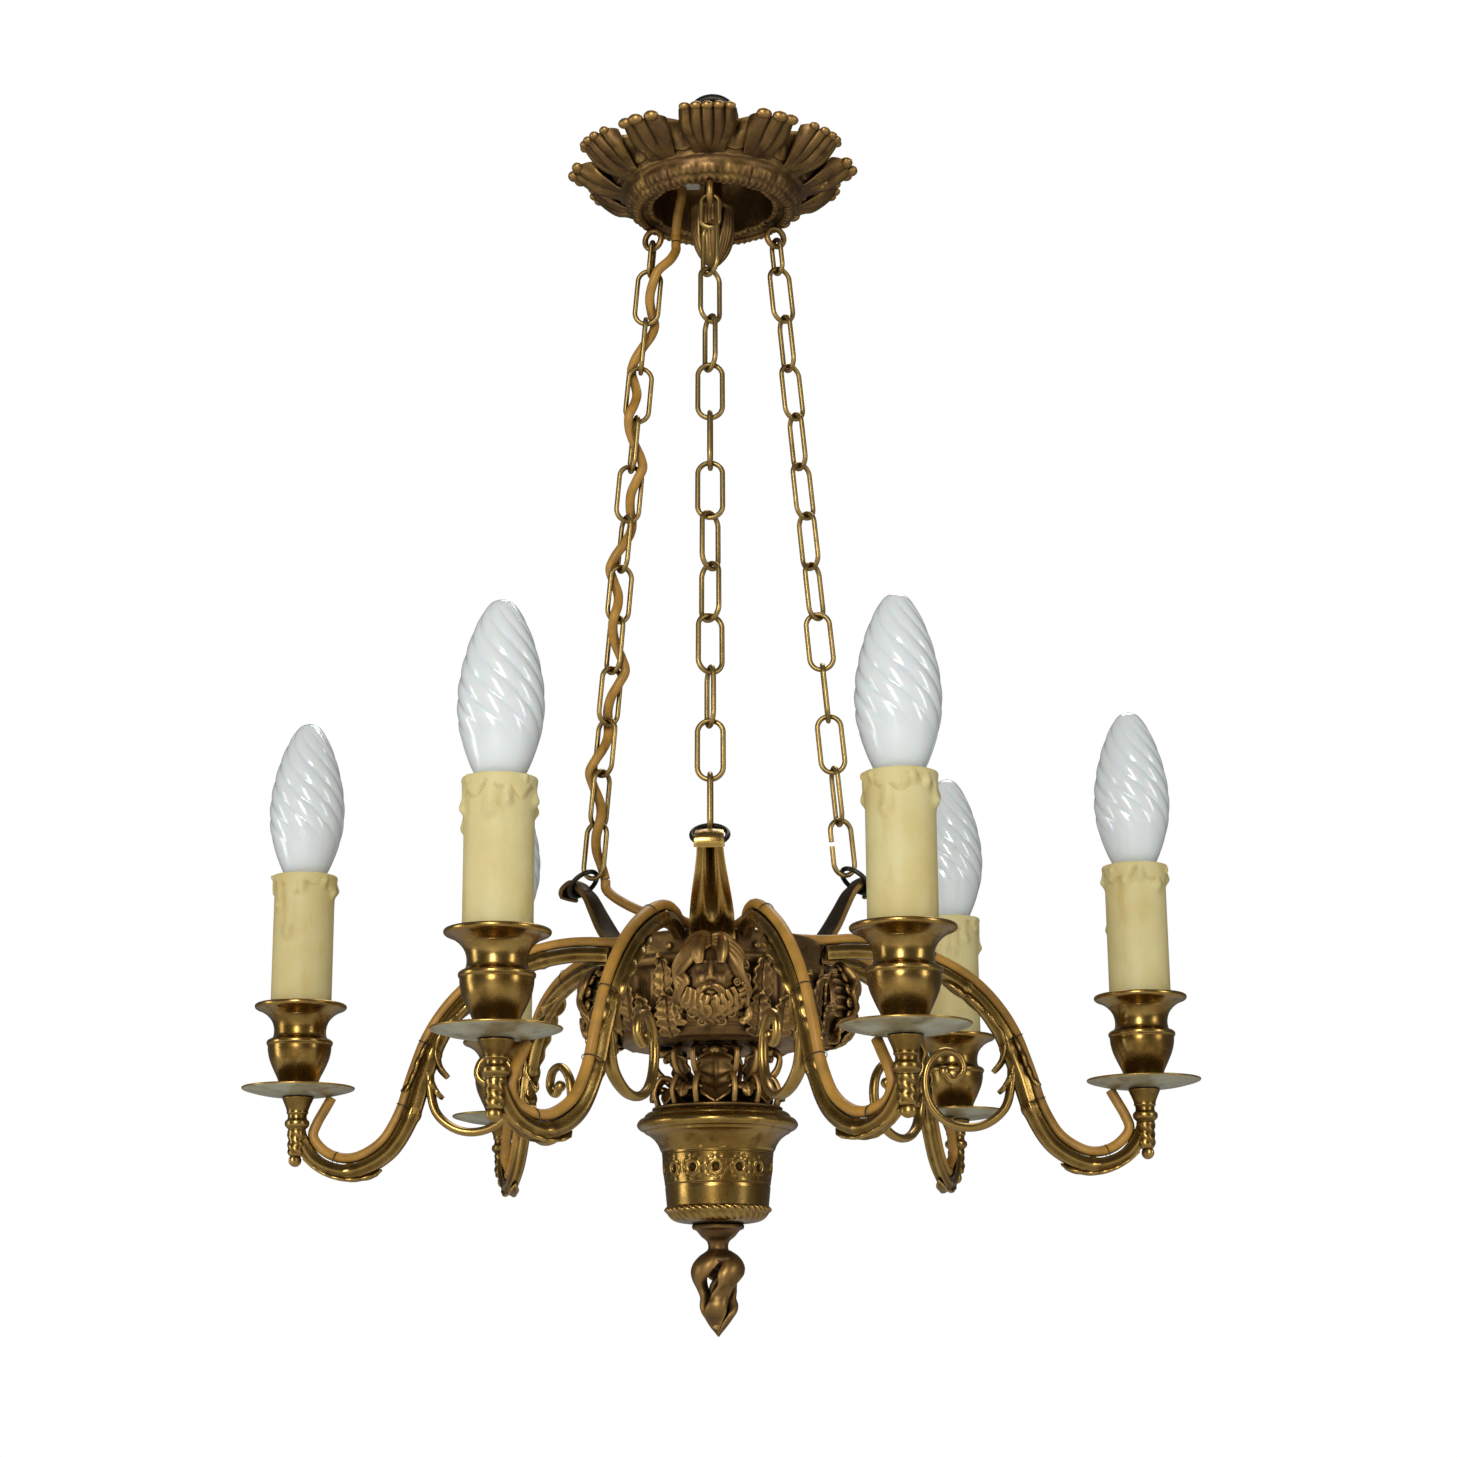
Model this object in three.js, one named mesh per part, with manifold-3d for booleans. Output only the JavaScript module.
// Six-light cast brass chandelier: an acanthus canopy, three oval-link chains, a hub with three
// masks and three horn hooks, six scrolled arms with drip pans, vase cups and electric candles,
// a foliage cage, a bell-shaped urn and a flame finial. Millimetres, +Z up.
// The origin is the point where the hanging eye bears on its ceiling hook.

import * as THREE from "three";
import { mergeVertices } from "three/addons/utils/BufferGeometryUtils.js";
import Module from "manifold-3d";

const wasm = await Module();
wasm.setup();

const FIT = 0.3; // clearance between neighbouring pieces
const THREAD_FIT = 0.4; // radial clearance of a threaded rod in its hole

// Hanging eye
const EYE_BORE_R = 8;
const EYE_WIRE = 5;
const SHANK_R = 3;
const SHANK_BARE = 8; // bare shank between the eye and the canopy's crown

// Canopy
const CANOPY_DEPTH = 30.5; // crown top to the lowest edge of the ring moulding
const CROWN_T = 4;
const CROWN_R = 24;
const RING_R = 36; // middle of the ring moulding
const FLANGE_R = 60;
const FLANGE_DROP = 4.5; // flange's upper edge below the crown
const FLANGE_T = 3.5;
const LEAF_COUNT = 12;
const LEAF_LENGTH = 28;
const LEAF_WIDTH = 26;
const LEAF_T = 3.5;
const LEAF_SLOPE = 23; // degrees above level
const LOOP_BORE_R = 3.2;
const LOOP_WIRE = 3;
const LOOP_SINK = 1.3; // how far each loop is cast into the ring moulding
const NUT_LENGTH = 54.5;
const NUT_R = 10.4;
const NUT_STEM = 22;

// Terminal block and its two supply tails
const BLOCK = { x: 12, y: 8, z: 8 };
const BLOCK_AT = { x: -12.5, y: 7 };
const TAIL_R = 1.2;
const TAIL_SPACING = 4;
const TAIL_RISE = 18; // above the crown
const TAIL_HOLE_R = 4.2;

// Chains
const LINK_WIRE = 2.6;
const LINK_LENGTH = 30;
const LINK_WIDTH = 14;
const TOP_LINK_LENGTH = 19.8;
const TOP_LINK_WIDTH = 11;
const LINK_BITE = 0.4; // how deep neighbouring links press into each other
const LOOP_R = 35; // chain loops from the axis
const HOOK_R = 68.8; // chain ends from the axis
const SWAY_SLACK = 1.5; // play between the last link and its hook ring
const LINK_GAP = 2; // opening of the sprung last link on the right

// Plane of each link about the chain, from the top link down: 0 holds the radius, 90 crosses it.
const FRONT_TWIST = [90, 37, 131, 27, 90, 0, 90, 143, 45, 114, 17, 90, 0];
const RIGHT_TWIST = [90, 3, 86, 11, 90, 15, 100, 23, 150, 60, 150, 74, 0];
const LEFT_TWIST_STEP = 95.5;
const LINK_COUNT = 13;

// Hook rings and horns
const RING_WIRE = 2.3;
const RING_OUTER = 18;
const RING_TILT = 42; // degrees between the ring and level
const HOOK_H = 88.2; // top of the hook ring above the drum's floor
const HORN_T = 3.6;
const HORN_BASE_W = 20;
const HORN_TIP_W = 10.4;
const HORN_TAB_LOW = 22; // foot of the horn's tab above the drum's floor

// Hub
const DRUM_H = 47;
const DRUM_BODY_R = 45;
const DRUM_BAND = 2.5; // height of its raised bands
const DRUM_R = DRUM_BODY_R + DRUM_BAND;
const DRUM_WALL = 3;
const MASK_H = 43;
const MASK_W = 34;
const MASK_DEPTH = 21.5; // from the horn's tab to the nose
const CAGE_H = 29;
const CAGE_PLATE_R = 29;
const CAGE_PLATE_T = 1.6;
const CAGE_CORE_R = 8;
const CAGE_RIBS = 6;
const URN_H = 45.3;
const URN_RIM_R = 36.4;
const URN_BAND_R = 24.8;
const FINIAL_H = 53.1;
const FINIAL_BALL_R = 12.3;
const FINIAL_SOCKET = 17;
const ROD_R = 3;
const ROD_HEAD_R = 6.5;
const ROD_HEAD_T = 5.5;

// Arms: each starts beside its mask and, seen from above, bows in towards it on its way out
const ARM_ROOT_R = 39;
const ARM_ROOT_SIDE = 14;
const ARM_SPLAY = 25; // degrees from the mask's direction
const ARM_REACH = 154;
const ARM_BOW = 18; // how far the arm bows in halfway
const ARM_ROOT_H = 43.5;
const ARM_CREST_H = 46;
const ARM_DIP_H = -52;
const ARM_SECTION_R = 3.75;
const SCROLL_R = 20;
const SCROLL_SET = 3; // the scroll's outer side from the bough's centre line
const SCROLL_WIRE = 4.2;
const STEM_LENGTH = 27;
const STEM_CONE_R = 6.5;
const SPIGOT_R = 4.4;
const SPIGOT_FIT = 0.4;

// Candles, all measured up from the underside of the drip pan
const PAN_H = -18; // above the drum's floor
const PAN_R = 26;
const PAN_T = 1.4;
const PAN_DISH = 3;
const CUP_H = 41;
const CUP_RIM_R = 21.2;
const CUP_RIDGE_R = 14.9;
const CUP_WAIST_R = 11.9;
const CUP_BASE_R = 9;
const CUP_WALL = 2.3;
const CUP_SEAT = 35; // ledge that carries the candle
const SLEEVE_R = 14;
const SLEEVE_WALL = 1.2;
const SLEEVE_H = 66;
const HOLDER_H = 62;
const HOLDER_R = 12.2;
const SOCKET_R = 7.5;
const SOCKET_DEPTH = 27;
const SPIGOT_GRIP = 4.5; // how far the spigot reaches into the holder
const BULB_R = 17.5;
const BULB_H = 105;
const CAP_R = 6.9;
const CAP_H = 27;

// Flex
const FLEX_R = 2.5;
const JOIN_R = 9; // taped joint of the wires in the drum
const JOIN_H = 17;
const FLEX_PIVOT_X = -19; // where the flex passes the swing axis of the left chain
const FLEX_GAP = 0.6; // break in the flex where it crosses a swing axis
const LACE_R = 6.2; // laced flex from the chain's axis where two links join
const LACE_NEAR_R = 4.05; // on the way to each joint
const LACE_NEAR_DROP = 6;
const LACE_MID_R = 0.9; // halfway down a link

const rad = THREE.MathUtils.degToRad;
const v2 = (x, y) => new THREE.Vector2(x, y);
const v3 = (x, y, z) => new THREE.Vector3(x, y, z);

// Signed volume of an indexed geometry, to tell whether its faces point out.
function signedVolume(geometry) {
  const p = geometry.attributes.position;
  const index = geometry.index.array;
  const [a, b, c] = [v3(), v3(), v3()];
  let sum = 0;
  for (let i = 0; i < index.length; i += 3) {
    a.fromBufferAttribute(p, index[i]);
    b.fromBufferAttribute(p, index[i + 1]);
    c.fromBufferAttribute(p, index[i + 2]);
    sum += a.dot(b.cross(c)) / 6;
  }
  return sum;
}

// The same surface with shared corners, no flat slivers and its faces pointing out.
function welded(geometry) {
  const bare = geometry.clone();
  bare.deleteAttribute("normal");
  bare.deleteAttribute("uv");
  const merged = mergeVertices(bare, 1e-4);
  const old = merged.index.array;
  const kept = [];
  for (let i = 0; i < old.length; i += 3) {
    const [a, b, c] = [old[i], old[i + 1], old[i + 2]];
    if (a !== b && b !== c && c !== a) kept.push(a, b, c);
  }
  merged.setIndex(kept);
  if (signedVolume(merged) < 0) {
    for (let i = 0; i < kept.length; i += 3) [kept[i], kept[i + 1]] = [kept[i + 1], kept[i]];
    merged.setIndex(kept);
  }
  return merged;
}

function solid(geometry) {
  const closed = welded(geometry);
  const mesh = new wasm.Mesh({
    numProp: 3,
    vertProperties: Float32Array.from(closed.attributes.position.array),
    triVerts: Uint32Array.from(closed.index.array),
  });
  return new wasm.Manifold(mesh);
}

function surface(manifold) {
  const mesh = manifold.getMesh();
  const geometry = new THREE.BufferGeometry();
  geometry.setAttribute("position", new THREE.BufferAttribute(mesh.vertProperties, 3));
  geometry.setIndex(new THREE.BufferAttribute(mesh.triVerts, 1));
  return geometry;
}

// Union of geometries, then each of the cuts taken away.
function fuse(parts, cuts = []) {
  let body = solid(parts[0]);
  for (const part of parts.slice(1)) body = body.add(solid(part));
  for (const cut of cuts) body = body.subtract(solid(cut));
  return surface(body);
}

// Solid turned about Z from a profile of [radius, height] pairs that ends on the axis or is closed.
function turned(profile, segments, closed = false) {
  const points = profile.map(([r, z]) => v2(r, z));
  if (closed) points.push(points[0].clone());
  return new THREE.LatheGeometry(points, segments).rotateX(Math.PI / 2);
}

// Ring of round wire about Z.
function ring(meanR, wireR, around, sides) {
  const profile = [];
  for (let i = 0; i < sides; i++) {
    const a = (2 * Math.PI * i) / sides;
    profile.push([meanR + wireR * Math.cos(a), wireR * Math.sin(a)]);
  }
  return turned(profile, around, true);
}

function rod(radius, low, high, sides = 12) {
  const shape = new THREE.CylinderGeometry(radius, radius, high - low, sides);
  return shape.rotateX(Math.PI / 2).translate(0, 0, (low + high) / 2);
}

// Round bar along a smooth curve through the points.
function bar(points, radius, steps, sides) {
  const section = [];
  for (let i = 0; i < sides; i++) {
    const a = (2 * Math.PI * i) / sides;
    section.push(v2(radius * Math.cos(a), radius * Math.sin(a)));
  }
  const path = new THREE.CatmullRomCurve3(points, false, "centripetal");
  return new THREE.ExtrudeGeometry(new THREE.Shape(section), { steps, extrudePath: path });
}

// Plate with an outline of [x, z] pairs, centred on Y.
function plate(outline, thickness, holes = []) {
  const shape = new THREE.Shape(outline.map(([x, z]) => v2(x, z)));
  for (const hole of holes) shape.holes.push(new THREE.Path(hole.map(([x, z]) => v2(x, z))));
  const options = { depth: thickness, bevelEnabled: false };
  return new THREE.ExtrudeGeometry(shape, options).rotateX(Math.PI / 2).translate(0, thickness / 2, 0);
}

// Outline of a strip of even thickness along a bent line of [x, z] pairs.
function strip(line, thickness) {
  const left = [];
  const right = [];
  for (let i = 0; i < line.length; i++) {
    const a = v2(...line[Math.max(i - 1, 0)]);
    const b = v2(...line[Math.min(i + 1, line.length - 1)]);
    const side = b.sub(a).normalize().multiplyScalar(thickness / 2);
    left.push([line[i][0] - side.y, line[i][1] + side.x]);
    right.unshift([line[i][0] + side.y, line[i][1] - side.x]);
  }
  return [...left, ...right];
}

// Centre line of an oval link: two bends of three steps each and two straight sides.
class OvalCurve extends THREE.Curve {
  constructor(length, width) {
    super();
    this.bendR = width / 2;
    this.straight = length - width;
  }

  getPoint(t, target = v3()) {
    const half = t < 0.5 ? 0 : 1;
    const u = (t - half / 2) * 2;
    const turn = half * Math.PI + Math.min(u / 0.75, 1) * Math.PI;
    const centre = (half === 0 ? 1 : -1) * (this.straight / 2);
    const slide = u > 0.75 ? ((u - 0.75) / 0.25) * this.straight : 0;
    const down = half === 0 ? -slide : slide;
    return target.set(this.bendR * Math.cos(turn), 0, centre + this.bendR * Math.sin(turn) + down);
  }

  getPointAt(u, target) {
    return this.getPoint(u, target);
  }

  getTangentAt(u, target) {
    return this.getTangent(u, target);
  }
}

// Closed link hanging from the origin, which is the middle of its top bow's wire.
function link(length, width) {
  const middle = length - LINK_WIRE;
  const curve = new OvalCurve(middle, width - LINK_WIRE);
  return new THREE.TubeGeometry(curve, 8, LINK_WIRE / 2, 4, true).translate(0, 0, -middle / 2);
}

// Levels from the ceiling hook down
const eyeMeanR = EYE_BORE_R + EYE_WIRE / 2;
const crownZ = -(2 * EYE_BORE_R + EYE_WIRE + SHANK_BARE);
const loopMeanR = LOOP_BORE_R + LOOP_WIRE / 2;
const loopDrop = CANOPY_DEPTH - LOOP_SINK + loopMeanR + LOOP_WIRE / 2;
const bowZ = crownZ - loopDrop - loopMeanR + LOOP_WIRE / 2 + FIT + LINK_WIRE / 2;

const linkRise = LINK_LENGTH - LINK_WIRE;
const topLinkRise = TOP_LINK_LENGTH - LINK_WIRE;
const linkLap = LINK_WIRE - LINK_BITE;
const chainLength = topLinkRise + (LINK_COUNT - 1) * (linkRise - linkLap);
const hookPlay = LINK_WIRE / 2 + RING_WIRE / 2 + SWAY_SLACK;
const taut = chainLength - hookPlay;
const chainLean = Math.asin((HOOK_R - LOOP_R) / taut);
const chainRun = taut * Math.cos(chainLean);
const hubZ = bowZ - chainRun - HOOK_H;

const materials = {
  brass: new THREE.MeshStandardMaterial({ color: 0x9a7638, metalness: 1, roughness: 0.38 }),
  darkBrass: new THREE.MeshStandardMaterial({ color: 0x6b4a2c, metalness: 1, roughness: 0.5 }),
  chain: new THREE.MeshStandardMaterial({ color: 0x7a6540, metalness: 1, roughness: 0.4 }),
  steel: new THREE.MeshStandardMaterial({ color: 0x2c2a22, metalness: 1, roughness: 0.5 }),
  flex: new THREE.MeshStandardMaterial({ color: 0xb07c34, metalness: 0, roughness: 0.7 }),
  sleeve: new THREE.MeshStandardMaterial({ color: 0xe2d8a6, metalness: 0, roughness: 0.5 }),
  holder: new THREE.MeshStandardMaterial({ color: 0xd8d4c8, metalness: 0, roughness: 0.6 }),
  glass: new THREE.MeshStandardMaterial({ color: 0xe4ecec, metalness: 0, roughness: 0.25 }),
};

function mesh(name, geometry, material) {
  const node = new THREE.Mesh(welded(geometry), material);
  node.name = name;
  return node;
}

const chandelier = new THREE.Group();

// Hanging eye: a ring of wire on a long threaded shank
const nutTop = crownZ - CROWN_T - FIT;
const nutSocket = NUT_LENGTH - 10.5;
const shankLow = nutTop - nutSocket + FIT;
const eyeRing = ring(eyeMeanR, EYE_WIRE / 2, 16, 8).rotateX(Math.PI / 2).translate(0, 0, -EYE_BORE_R);
const shank = rod(SHANK_R, shankLow, -EYE_BORE_R - eyeMeanR);
chandelier.add(mesh("hanging_eye", fuse([eyeRing, shank]), materials.steel));

// Canopy: a cast dish with a raised ring moulding, twelve leaves and three chain loops
const canopyProfile = [
  [SHANK_R + THREAD_FIT, 0],
  [CROWN_R, 0],
  [RING_R * 0.89, -CANOPY_DEPTH * 0.59],
  [RING_R * 1.03, -CANOPY_DEPTH * 0.69],
  [RING_R * 1.22, -CANOPY_DEPTH * 0.49],
  [FLANGE_R, -FLANGE_DROP],
  [FLANGE_R, -FLANGE_DROP - FLANGE_T],
  [RING_R * 1.25, -CANOPY_DEPTH * 0.62],
  [RING_R * 1.14, -CANOPY_DEPTH * 0.885],
  [RING_R * 1.055, -CANOPY_DEPTH],
  [RING_R * 0.945, -CANOPY_DEPTH],
  [RING_R * 0.86, -CANOPY_DEPTH * 0.92],
  [RING_R * 0.805, -CANOPY_DEPTH * 0.66],
  [CROWN_R, -CROWN_T],
  [SHANK_R + THREAD_FIT, -CROWN_T],
];
const leafOutline = [
  [0, -0.26],
  [0.4, -0.5],
  [0.8, -0.38],
  [1, 0],
  [0.8, 0.38],
  [0.4, 0.5],
  [0, 0.26],
];
function leaf(turn) {
  const outline = leafOutline.map(([u, v]) => v2(u * LEAF_LENGTH, v * LEAF_WIDTH));
  const blade = new THREE.ExtrudeGeometry(new THREE.Shape(outline), { depth: LEAF_T, bevelEnabled: false });
  return blade
    .rotateY(-rad(LEAF_SLOPE))
    .translate(RING_R * 1.22, 0, -CANOPY_DEPTH * 0.607)
    .rotateZ(turn);
}
function chainLoop(turn) {
  return ring(loopMeanR, LOOP_WIRE / 2, 10, 4)
    .rotateX(Math.PI / 2)
    .translate(LOOP_R, 0, -loopDrop)
    .rotateZ(turn);
}
const chainTurns = { front: rad(-90), right: rad(30), left: rad(150) };
const canopyParts = [turned(canopyProfile, 24, true)];
for (let i = 0; i < LEAF_COUNT; i++) canopyParts.push(leaf((2 * Math.PI * i) / LEAF_COUNT));
for (const turn of Object.values(chainTurns)) canopyParts.push(chainLoop(turn));
const tailHole = rod(TAIL_HOLE_R, -CROWN_T - 1, 1).translate(BLOCK_AT.x, BLOCK_AT.y, 0);
const canopy = mesh("canopy", fuse(canopyParts, [tailHole]), materials.darkBrass);
canopy.position.z = crownZ;
chandelier.add(canopy);

// Acorn nut under the canopy, with a long stem that draws the crown up on the shank
const nutBore = SHANK_R + THREAD_FIT;
const nutProfile = [
  [nutBore, 0],
  [SHANK_R + 3, 0],
  [SHANK_R + 3, -3],
  [SHANK_R + 1.8, -4],
  [SHANK_R + 1.8, -NUT_STEM],
  [NUT_R * 0.91, -NUT_STEM - 2],
  [NUT_R, -NUT_STEM - 6],
  [NUT_R * 0.99, -NUT_STEM - 13],
  [NUT_R * 0.9, -NUT_STEM - 19],
  [NUT_R * 0.67, -NUT_LENGTH + 8],
  [NUT_R * 0.34, -NUT_LENGTH + 2.2],
  [0, -NUT_LENGTH],
  [0, -nutSocket],
  [nutBore, -nutSocket],
];
const nut = mesh("canopy_nut", turned(nutProfile, 12, true), materials.brass);
nut.position.z = nutTop;
chandelier.add(nut);

// Terminal block under the crown, with two tails up through the crown's hole
const blockBody = new THREE.BoxGeometry(BLOCK.x, BLOCK.y, BLOCK.z).translate(0, 0, -BLOCK.z / 2);
const tails = [-1, 1].map((side) =>
  rod(TAIL_R, -1, CROWN_T + FIT + TAIL_RISE, 6).translate((side * TAIL_SPACING) / 2, 1, 0),
);
const block = mesh("terminal_block", fuse([blockBody, ...tails]), materials.holder);
block.position.set(BLOCK_AT.x, BLOCK_AT.y, crownZ - CROWN_T - FIT);
chandelier.add(block);

// Chain frames: each hangs from its loop and leans out to its hook ring
function chainFrame(turn) {
  const spin = new THREE.Group();
  spin.rotation.z = turn;
  const frame = new THREE.Group();
  frame.position.set(LOOP_R, 0, bowZ);
  frame.rotation.y = -chainLean;
  spin.add(frame);
  chandelier.add(spin);
  return frame;
}
const leftTwist = [];
for (let k = 1; k <= LINK_COUNT; k++) leftTwist.push(-(LINK_COUNT - k) * LEFT_TWIST_STEP);

// Top of link k, counted from 1, along the chain.
const linkTop = (k) => (k === 1 ? 0 : -(topLinkRise - linkLap) - (k - 2) * (linkRise - linkLap));
const linkFall = (k) => (k === 1 ? topLinkRise : linkRise);

function chainOf(twists, cuts = []) {
  const links = twists.map((twist, i) => {
    const shape = i === 0 ? link(TOP_LINK_LENGTH, TOP_LINK_WIDTH) : link(LINK_LENGTH, LINK_WIDTH);
    return shape.rotateZ(rad(twist)).translate(0, 0, linkTop(i + 1));
  });
  return fuse(links, cuts);
}
const openLink = new THREE.BoxGeometry(LINK_WIRE * 2, LINK_WIRE * 2, LINK_GAP).translate(
  -(LINK_WIDTH - LINK_WIRE) / 2,
  0,
  linkTop(LINK_COUNT) - linkRise / 2 + LINK_GAP / 2,
);
const frames = {};
for (const [name, turn] of Object.entries(chainTurns)) frames[name] = chainFrame(turn);
frames.front.add(mesh("chain_front", chainOf(FRONT_TWIST), materials.chain));
frames.right.add(mesh("chain_right", chainOf(RIGHT_TWIST, [openLink]), materials.chain));
frames.left.add(mesh("chain_left", chainOf(leftTwist), materials.chain));

// Supply flex laced through the left chain: it crosses each link's plane near the chain's axis and
// passes every joint of two links in the wide angle between them
const laceTurn = 57.1;
function lacePoint(radius, angle, along) {
  return v3(radius * Math.cos(rad(angle)), radius * Math.sin(rad(angle)), along);
}
const leftBase = new THREE.Matrix4().makeRotationZ(chainTurns.left);
leftBase.multiply(new THREE.Matrix4().makeTranslation(LOOP_R, 0, bowZ));
leftBase.multiply(new THREE.Matrix4().makeRotationY(-chainLean));
const intoLeft = leftBase.clone().invert();
const pivotY = LOOP_R * Math.sin(chainTurns.left);
const lacePath = [
  v3(FLEX_PIVOT_X, pivotY, bowZ - FLEX_GAP / 2).applyMatrix4(intoLeft),
  v3(FLEX_PIVOT_X, pivotY, bowZ - 2).applyMatrix4(intoLeft),
  v3(FLEX_PIVOT_X, pivotY, bowZ - 4).applyMatrix4(intoLeft),
  v3(FLEX_PIVOT_X - 2.5, pivotY - 3.4, bowZ - 10.5).applyMatrix4(intoLeft),
];
for (let k = 1; k <= LINK_COUNT; k++) {
  const twist = leftTwist[k - 1] + 180;
  const joint = linkTop(k) - linkFall(k) + linkLap / 2;
  if (k > 1) {
    lacePath.push(lacePoint(LACE_NEAR_R, twist - laceTurn, linkTop(k) - linkLap / 2 - LACE_NEAR_DROP));
    lacePath.push(lacePoint(LACE_MID_R, twist, linkTop(k) - linkRise / 2));
    lacePath.push(lacePoint(LACE_NEAR_R, twist + laceTurn, joint + LACE_NEAR_DROP));
  }
  lacePath.push(lacePoint(LACE_R, twist + LEFT_TWIST_STEP / 2, joint));
}
const laceEnd = lacePath[lacePath.length - 1].clone().applyMatrix4(leftBase);
const laceMesh = mesh("flex_on_chain", bar(lacePath, FLEX_R, 4 * LINK_COUNT + 6, 8), materials.flex);
frames.left.add(laceMesh);

// Flex inside the canopy, from the terminal block to the swing axis of the left chain
const flexTop = crownZ - CROWN_T - FIT - BLOCK.z - FIT;
const flexFromBlock = (down) => v3(BLOCK_AT.x - 3, BLOCK_AT.y + 1, flexTop - down);
const canopyFlexPath = [
  flexFromBlock(0),
  flexFromBlock(2),
  flexFromBlock(4),
  v3(BLOCK_AT.x - 5, BLOCK_AT.y + 5, flexTop - 11),
  v3(FLEX_PIVOT_X, pivotY, bowZ + 4),
  v3(FLEX_PIVOT_X, pivotY, bowZ + 2),
  v3(FLEX_PIVOT_X, pivotY, bowZ + FLEX_GAP / 2),
];
chandelier.add(mesh("flex_in_canopy", bar(canopyFlexPath, FLEX_R, 8, 8), materials.flex));

// Hub frame: its level zero is the underside of the drum's floor
const hub = new THREE.Group();
hub.position.z = hubZ;
chandelier.add(hub);

const drumProfile = [
  [ROD_R + THREAD_FIT, 0],
  [DRUM_BODY_R - 5, 0],
  [DRUM_BODY_R - 1.5, 1.5],
  [DRUM_BODY_R, 5],
  [DRUM_R, 8],
  [DRUM_R, 12],
  [DRUM_BODY_R, 15],
  [DRUM_BODY_R, DRUM_H - 16],
  [DRUM_R, DRUM_H - 13],
  [DRUM_R, DRUM_H - 1],
  [DRUM_R - 1, DRUM_H],
  [DRUM_BODY_R - DRUM_WALL + 1, DRUM_H],
  [DRUM_BODY_R - DRUM_WALL, DRUM_WALL + 1],
  [DRUM_BODY_R - DRUM_WALL - 3, DRUM_WALL],
  [ROD_R + THREAD_FIT, DRUM_WALL],
];
hub.add(mesh("hub_drum", turned(drumProfile, 24, true), materials.brass));

// Horns: a screwed tab, a rising channelled blade and a lip curled over the hook ring
const ringMeanR = (RING_OUTER - RING_WIRE) / 2;
const tilt = rad(RING_TILT);
const ringCentre = [HOOK_R + ringMeanR * Math.cos(tilt), HOOK_H - ringMeanR * Math.sin(tilt)];
const acrossRing = (p, q) => [
  ringCentre[0] + p * Math.cos(tilt) + q * Math.sin(tilt),
  ringCentre[1] - p * Math.sin(tilt) + q * Math.cos(tilt),
];
const tabR = DRUM_R + FIT + HORN_T / 2;
const lipClear = RING_WIRE / 2 + FIT + HORN_T / 2;
const lipEnd = ringMeanR + lipClear + 0.3;
const neckAt = 1.5;
const tipLow = acrossRing(neckAt, -2);
const hornAt = (out, up) => [tabR + out * (tipLow[0] - tabR), DRUM_H + up * (tipLow[1] - DRUM_H)];
const hornLine = [
  [tabR, HORN_TAB_LOW],
  [tabR, DRUM_H - 4],
  hornAt(0.177, 0.105),
  hornAt(0.42, 0.343),
  hornAt(0.66, 0.642),
  hornAt(0.86, 0.896),
  tipLow,
  acrossRing(neckAt, 1.2),
  acrossRing(neckAt + 1.1, lipClear - 0.3),
  acrossRing(neckAt + 3.5, lipClear + 0.35),
  acrossRing(ringMeanR + 0.3, lipClear + 0.35),
  acrossRing(lipEnd - 0.6, lipClear - 1.1),
  acrossRing(lipEnd, -0.6),
];
function hornGeometry() {
  const side = solid(plate(strip(hornLine, HORN_T), HORN_BASE_W));
  const top = HOOK_H + 20;
  const neckH = tipLow[1] - 3;
  const front = [
    [-HORN_BASE_W / 2, 0],
    [HORN_BASE_W / 2, 0],
    [HORN_BASE_W / 2, DRUM_H + 2],
    [HORN_TIP_W / 2, neckH],
    [HORN_TIP_W / 2, top],
    [-HORN_TIP_W / 2, top],
    [-HORN_TIP_W / 2, neckH],
    [-HORN_BASE_W / 2, DRUM_H + 2],
  ];
  const mould = plate(front, 2 * HOOK_R).rotateZ(Math.PI / 2).translate(HOOK_R, 0, 0);
  return surface(side.intersect(solid(mould)));
}

// Masks: a rounded head with its back cut flat against the horn's tab
const maskBack = tabR + HORN_T / 2 + FIT;
function maskGeometry() {
  const head = new THREE.SphereGeometry(1, 12, 8).rotateX(Math.PI / 2);
  head.scale(MASK_DEPTH - 1.5, MASK_W / 2, MASK_H / 2).translate(maskBack + 1.5, 0, MASK_H / 2 + 0.5);
  const behind = new THREE.BoxGeometry(2 * maskBack, 2 * MASK_W, 3 * MASK_H).translate(0, 0, MASK_H / 2);
  return fuse([head], [behind]);
}

// Foliage cage: a core tube, a foot plate and open scrolled ribs up to the drum
const cageTop = -FIT;
const cageLow = -CAGE_H;
const ribOutline = [
  [CAGE_CORE_R - 2, cageLow + 0.5],
  [CAGE_PLATE_R - 1, cageLow + 0.5],
  [CAGE_PLATE_R, cageLow + 5],
  [CAGE_PLATE_R - 7, cageLow + 10],
  [CAGE_PLATE_R - 9, cageLow + 16],
  [CAGE_PLATE_R - 3, cageLow + 22],
  [CAGE_PLATE_R - 4, cageTop],
  [CAGE_CORE_R - 2, cageTop],
];
const ribHole = [
  [CAGE_CORE_R + 3, cageLow + 4],
  [CAGE_CORE_R + 3, cageTop - 5],
  [CAGE_PLATE_R - 13, cageTop - 7],
  [CAGE_PLATE_R - 11, cageLow + 5],
];
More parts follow.
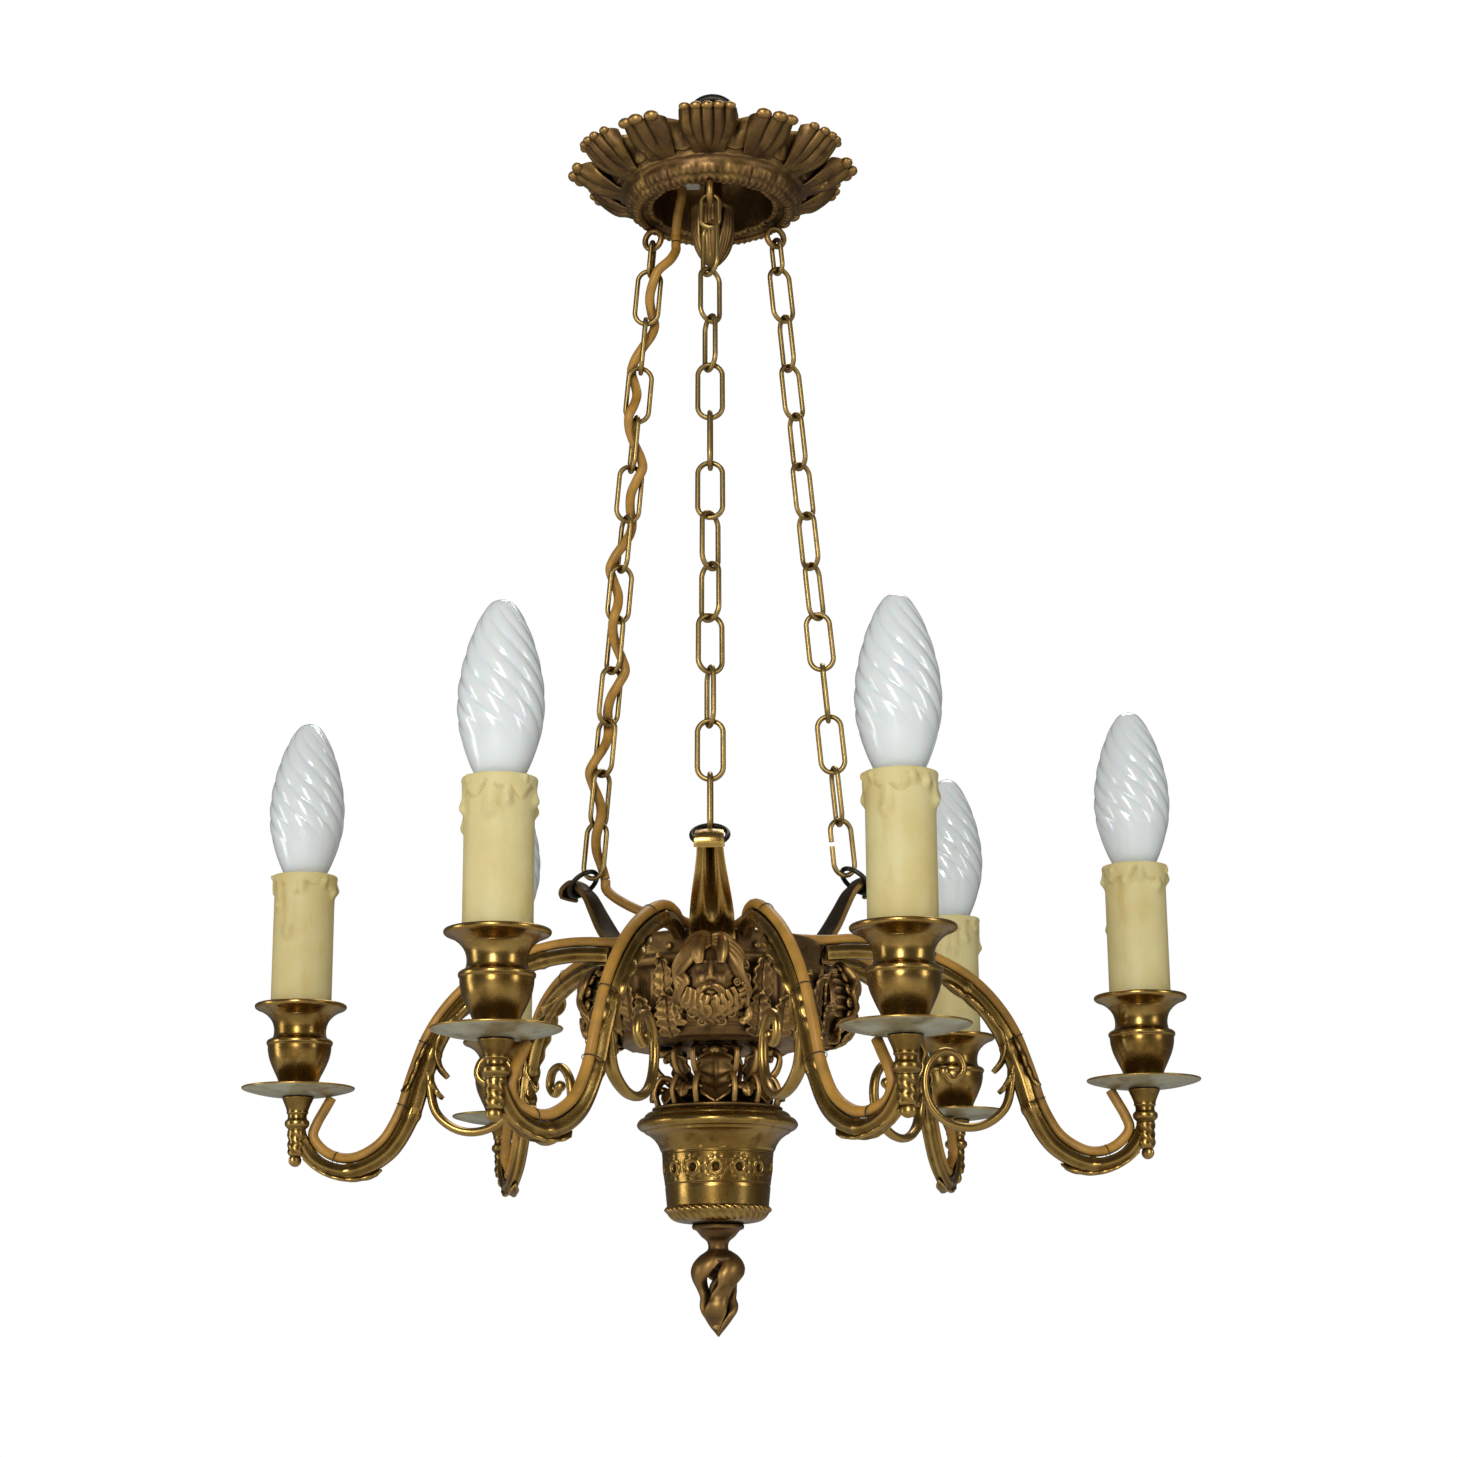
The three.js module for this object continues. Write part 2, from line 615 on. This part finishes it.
const core = [
  [ROD_R + THREAD_FIT, cageLow],
  [CAGE_PLATE_R, cageLow],
  [CAGE_PLATE_R, cageLow + CAGE_PLATE_T],
  [CAGE_CORE_R, cageLow + CAGE_PLATE_T],
  [CAGE_CORE_R, cageTop],
  [ROD_R + THREAD_FIT, cageTop],
];
const cageBody = turned(core, 24, true);
const ribs = [];
for (let i = 0; i < CAGE_RIBS; i++) {
  ribs.push(plate(ribOutline, 4, [ribHole]).rotateZ((2 * Math.PI * (i + 0.5)) / CAGE_RIBS));
}
const cageBore = rod(ROD_R + THREAD_FIT, cageLow - 1, 1);
hub.add(mesh("foliage_cage", fuse([cageBody, ...ribs], [cageBore]), materials.darkBrass));

// Bell-shaped urn, a cup closed by the cage's foot plate
const urnTop = cageLow - FIT;
const urnLow = urnTop - URN_H;
const urnProfile = [
  [CAGE_PLATE_R + 1, urnTop],
  [URN_RIM_R - 2, urnTop - 2],
  [URN_RIM_R, urnTop - 4.2],
  [URN_RIM_R - 5.5, urnTop - 8.7],
  [URN_BAND_R + 2.7, urnTop - 12.2],
  [URN_BAND_R + 0.8, urnTop - 16.2],
  [URN_BAND_R, urnTop - 21],
  [URN_BAND_R - 2.2, urnLow + 9.6],
  [URN_BAND_R - 1.8, urnLow + 6.6],
  [URN_BAND_R - 5.3, urnLow + 3.1],
  [12, urnLow],
  [ROD_R + THREAD_FIT, urnLow],
  [ROD_R + THREAD_FIT, urnLow + 3],
  [URN_BAND_R - 9, urnLow + 3.5],
  [URN_BAND_R - 5, urnLow + 8.1],
  [URN_BAND_R - 3, urnTop - 21],
  [URN_BAND_R + 1.2, urnTop - 9.2],
  [CAGE_PLATE_R - 2, urnTop],
];
hub.add(mesh("urn", turned(urnProfile, 20, true), materials.brass));

// Flame finial, the nut on the lower end of the tie rod
const finialTop = urnLow - FIT;
const finialTip = finialTop - FINIAL_H;
const finialProfile = [
  [ROD_R + THREAD_FIT, finialTop],
  [11.3, finialTop],
  [11.3, finialTop - 3],
  [8, finialTop - 5.5],
  [5, finialTop - 8],
  [5.6, finialTop - 12],
  [FINIAL_BALL_R - 2.8, finialTop - 16],
  [FINIAL_BALL_R, finialTop - 23],
  [FINIAL_BALL_R - 0.3, finialTip + 26],
  [FINIAL_BALL_R - 3.8, finialTip + 19.5],
  [FINIAL_BALL_R - 3.5, finialTip + 14],
  [FINIAL_BALL_R - 6.3, finialTip + 8],
  [FINIAL_BALL_R - 9.8, finialTip + 2.5],
  [0, finialTip],
  [0, finialTop - FINIAL_SOCKET],
  [ROD_R + THREAD_FIT, finialTop - FINIAL_SOCKET],
];
hub.add(mesh("finial", turned(finialProfile, 12, true), materials.brass));

// Tie rod: its head bears on the drum's floor, its lower end holds the finial
const rodLow = finialTop - FINIAL_SOCKET + FIT;
const headLow = DRUM_WALL + FIT;
const rodParts = [rod(ROD_R, rodLow, headLow + 1), rod(ROD_HEAD_R, headLow, headLow + ROD_HEAD_T, 6)];
hub.add(mesh("tie_rod", fuse(rodParts), materials.steel));

for (const [name, turn] of Object.entries(chainTurns)) {
  const side = new THREE.Group();
  side.rotation.z = turn;
  hub.add(side);
  side.add(mesh(`horn_${name}`, hornGeometry(), materials.darkBrass));
  side.add(mesh(`mask_${name}`, maskGeometry(), materials.darkBrass));
  const hookRing = mesh(`hook_ring_${name}`, ring(ringMeanR, RING_WIRE / 2, 14, 5), materials.steel);
  hookRing.position.set(ringCentre[0], 0, ringCentre[1]);
  hookRing.rotation.y = tilt;
  side.add(hookRing);
}

// Arm line seen from the side: [distance out, height]
const armDrop = ARM_CREST_H - ARM_DIP_H;
const armAt = (along, down) => [ARM_REACH * along, ARM_CREST_H - armDrop * down];
const armLine = [
  [0, ARM_ROOT_H],
  [ARM_REACH * 0.196, ARM_CREST_H],
  armAt(0.34, 0.041),
  armAt(0.49, 0.163),
  armAt(0.588, 0.347),
  armAt(0.64, 0.551),
  armAt(0.68, 0.755),
  armAt(0.745, 0.918),
  armAt(0.85, 1),
  armAt(0.941, 0.959),
  [ARM_REACH - 1, PAN_H - STEM_LENGTH + 9],
  [ARM_REACH, PAN_H - STEM_LENGTH + 14],
];
const scrollLine = [
  [0.82, 0.575],
  [1, 0],
  [0.85, -0.55],
  [0.45, -0.9],
  [0, -1],
  [-0.5, -0.875],
  [-0.85, -0.55],
  [-1, -0.05],
  [-0.9, 0.45],
  [-0.55, 0.75],
  [-0.2, 0.65],
  [-0.1, 0.3],
  [-0.35, 0.1],
  [-0.55, 0.3],
];
const bowAt = (t) => ARM_BOW * Math.sin((Math.PI * t) / ARM_REACH);
const onArm = (side) => ([t, h]) => v3(t, -side * bowAt(t), h);
const [, , , , , scrollSide] = armLine;
const scrollT = scrollSide[0] - SCROLL_SET - SCROLL_R;
const scrollH = ARM_CREST_H - armDrop * 0.612;
const stemTop = PAN_H - FIT;
const cupBase = PAN_T + FIT;
const seat = cupBase + CUP_SEAT;
const spigotTop = PAN_H + seat + FIT + SPIGOT_GRIP;
const stemProfile = [
  [0, stemTop - STEM_LENGTH],
  [3.4, stemTop - STEM_LENGTH + 1],
  [3.8, stemTop - 14],
  [5.2, stemTop - 12],
  [5.2, stemTop - 10],
  [4.4, stemTop - 7.5],
  [STEM_CONE_R, stemTop - 2.5],
  [STEM_CONE_R, stemTop],
  [SPIGOT_R, stemTop],
  [SPIGOT_R, spigotTop],
  [0, spigotTop],
];
function armGeometry(side) {
  const bough = bar(armLine.map(onArm(side)), ARM_SECTION_R, 15, 5);
  const coil = scrollLine.map(([u, w]) => [scrollT + SCROLL_R * u, scrollH + SCROLL_R * w]);
  const scroll = bar(coil.map(onArm(side)), SCROLL_WIRE / 2, 18, 4);
  const stem = turned(stemProfile, 8).translate(ARM_REACH, 0, 0);
  const drumSpace = rod(DRUM_R + FIT, -1, DRUM_H + 20, 24)
    .translate(-ARM_ROOT_R, -side * ARM_ROOT_SIDE, 0)
    .rotateZ(-side * rad(ARM_SPLAY));
  return fuse([bough, scroll, stem], [drumSpace]);
}

const panProfile = [
  [SPIGOT_R + SPIGOT_FIT, 0],
  [PAN_R - 14, 0],
  [PAN_R - 2, PAN_DISH - 0.8],
  [PAN_R, PAN_DISH + 1],
  [PAN_R - 2, PAN_DISH + 1],
  [PAN_R - 14, PAN_T],
  [SPIGOT_R + SPIGOT_FIT, PAN_T],
];
const cupProfile = [
  [SPIGOT_R + SPIGOT_FIT, 0],
  [CUP_BASE_R, 0],
  [CUP_BASE_R + 0.3, CUP_H * 0.16],
  [CUP_RIDGE_R - 1.7, CUP_H * 0.36],
  [CUP_RIDGE_R, CUP_H * 0.55],
  [CUP_WAIST_R, CUP_H * 0.67],
  [CUP_WAIST_R + 1.8, CUP_H - 8.4],
  [CUP_RIM_R, CUP_H - 1.9],
  [CUP_RIM_R - 0.6, CUP_H],
  [SLEEVE_R + 0.7, CUP_SEAT + 1.8],
  [SLEEVE_R + 0.7, CUP_SEAT],
  [CUP_BASE_R - CUP_WALL, CUP_SEAT],
  [CUP_BASE_R - CUP_WALL, 3],
  [SPIGOT_R + SPIGOT_FIT, 3],
];
const sleeveProfile = [
  [SLEEVE_R, 0],
  [SLEEVE_R, SLEEVE_H],
  [SLEEVE_R - SLEEVE_WALL, SLEEVE_H],
  [SLEEVE_R - SLEEVE_WALL, 0],
];
const holderProfile = [
  [0, SPIGOT_GRIP + FIT],
  [SPIGOT_R + SPIGOT_FIT, SPIGOT_GRIP + FIT],
  [SPIGOT_R + SPIGOT_FIT, 0],
  [HOLDER_R, 0],
  [HOLDER_R, HOLDER_H],
  [SOCKET_R, HOLDER_H],
  [SOCKET_R, HOLDER_H - SOCKET_DEPTH],
  [0, HOLDER_H - SOCKET_DEPTH],
];
const glassAt = (share) => CAP_H + (BULB_H - CAP_H) * share;
const bulbProfile = [
  [0, 0],
  [CAP_R - 2.9, 0],
  [CAP_R, 2],
  [CAP_R, CAP_H],
  [BULB_R * 0.62, glassAt(0.09)],
  [BULB_R * 0.9, glassAt(0.26)],
  [BULB_R, glassAt(0.42)],
  [BULB_R * 0.97, glassAt(0.54)],
  [BULB_R * 0.84, glassAt(0.67)],
  [BULB_R * 0.64, glassAt(0.79)],
  [BULB_R * 0.35, glassAt(0.92)],
  [0, BULB_H],
];

// Flex lies on the arm's upper side, then climbs beside the stem to the pan
const sideView = armLine.map(([t, h]) => v3(t, 0, h));
const armCurve = new THREE.CatmullRomCurve3(sideView, false, "centripetal");
const flexLift = ARM_SECTION_R + FLEX_R + 2 * FIT;
function flexLine(side) {
  const points = [];
  for (let i = 1; i <= 19; i++) {
    const u = i * 0.046;
    const at = armCurve.getPointAt(u);
    const along = armCurve.getTangentAt(u);
    points.push(v3(at.x - along.z * flexLift, -side * bowAt(at.x), at.z + along.x * flexLift));
  }
  const climb = ARM_REACH - STEM_CONE_R - FLEX_R - FIT;
  points.push(onArm(side)([climb - 0.8, PAN_H - 18]));
  points.push(onArm(side)([climb - 2.5, PAN_H - 10]));
  points.push(onArm(side)([climb - 4.5, PAN_H - FIT]));
  return points;
}

const flexParts = [rod(JOIN_R, DRUM_H - JOIN_H / 2, DRUM_H + JOIN_H / 2)];
let number = 0;
for (const turn of Object.values(chainTurns)) {
  for (const side of [-1, 1]) {
    number += 1;
    const spin = new THREE.Group();
    spin.rotation.z = turn;
    const arm = new THREE.Group();
    arm.position.set(ARM_ROOT_R, side * ARM_ROOT_SIDE, 0);
    arm.rotation.z = side * rad(ARM_SPLAY);
    spin.add(arm);
    hub.add(spin);
    arm.add(mesh(`arm_${number}`, armGeometry(side), materials.brass));

    const candle = new THREE.Group();
    candle.position.set(ARM_REACH, 0, PAN_H);
    arm.add(candle);
    candle.add(mesh(`drip_pan_${number}`, turned(panProfile, 12, true), materials.brass));
    const cup = mesh(`candle_cup_${number}`, turned(cupProfile, 12, true), materials.brass);
    cup.position.z = cupBase;
    const sleeve = mesh(`candle_sleeve_${number}`, turned(sleeveProfile, 12, true), materials.sleeve);
    sleeve.position.z = seat + FIT;
    const holder = mesh(`lampholder_${number}`, turned(holderProfile, 12), materials.holder);
    holder.position.z = seat + FIT;
    const bulb = mesh(`bulb_${number}`, turned(bulbProfile, 12), materials.glass);
    bulb.position.z = seat + FIT + HOLDER_H - SOCKET_DEPTH + FIT;
    candle.add(cup, sleeve, holder, bulb);

    const root = v3(ARM_ROOT_R, side * ARM_ROOT_SIDE, 0);
    const splay = side * rad(ARM_SPLAY);
    const inward = v3(ARM_ROOT_R, side * ARM_ROOT_SIDE, 0).normalize();
    const line = [
      inward.clone().multiplyScalar(JOIN_R / 2).setZ(ARM_ROOT_H + flexLift),
      inward.clone().multiplyScalar(ARM_ROOT_R / 2).setZ(ARM_ROOT_H + flexLift + 0.5),
    ];
    for (const point of flexLine(side)) line.push(point.applyAxisAngle(v3(0, 0, 1), splay).add(root));
    flexParts.push(bar(line, FLEX_R, 17, 5).rotateZ(turn));
  }
}

// Wiring of the hub: the feed from the left chain, the joint and the six arm flexes
const feedTop = laceEnd.clone().sub(v3(0, 0, hubZ));
const feedLine = [
  feedTop.clone().setZ(feedTop.z - FLEX_GAP),
  feedTop.clone().add(v3(0.6, -0.4, -5)),
  feedTop.clone().lerp(v3(0, 0, DRUM_H + 12), 0.3).add(v3(0, 0, -9)),
  feedTop.clone().lerp(v3(0, 0, DRUM_H + 8), 0.68).add(v3(0, 0, -4)),
  v3(-JOIN_R / 2, JOIN_R / 4, DRUM_H + JOIN_H / 2 - 2),
];
flexParts.push(bar(feedLine, FLEX_R, 12, 8));
hub.add(mesh("wiring", fuse(flexParts), materials.flex));

export default chandelier;
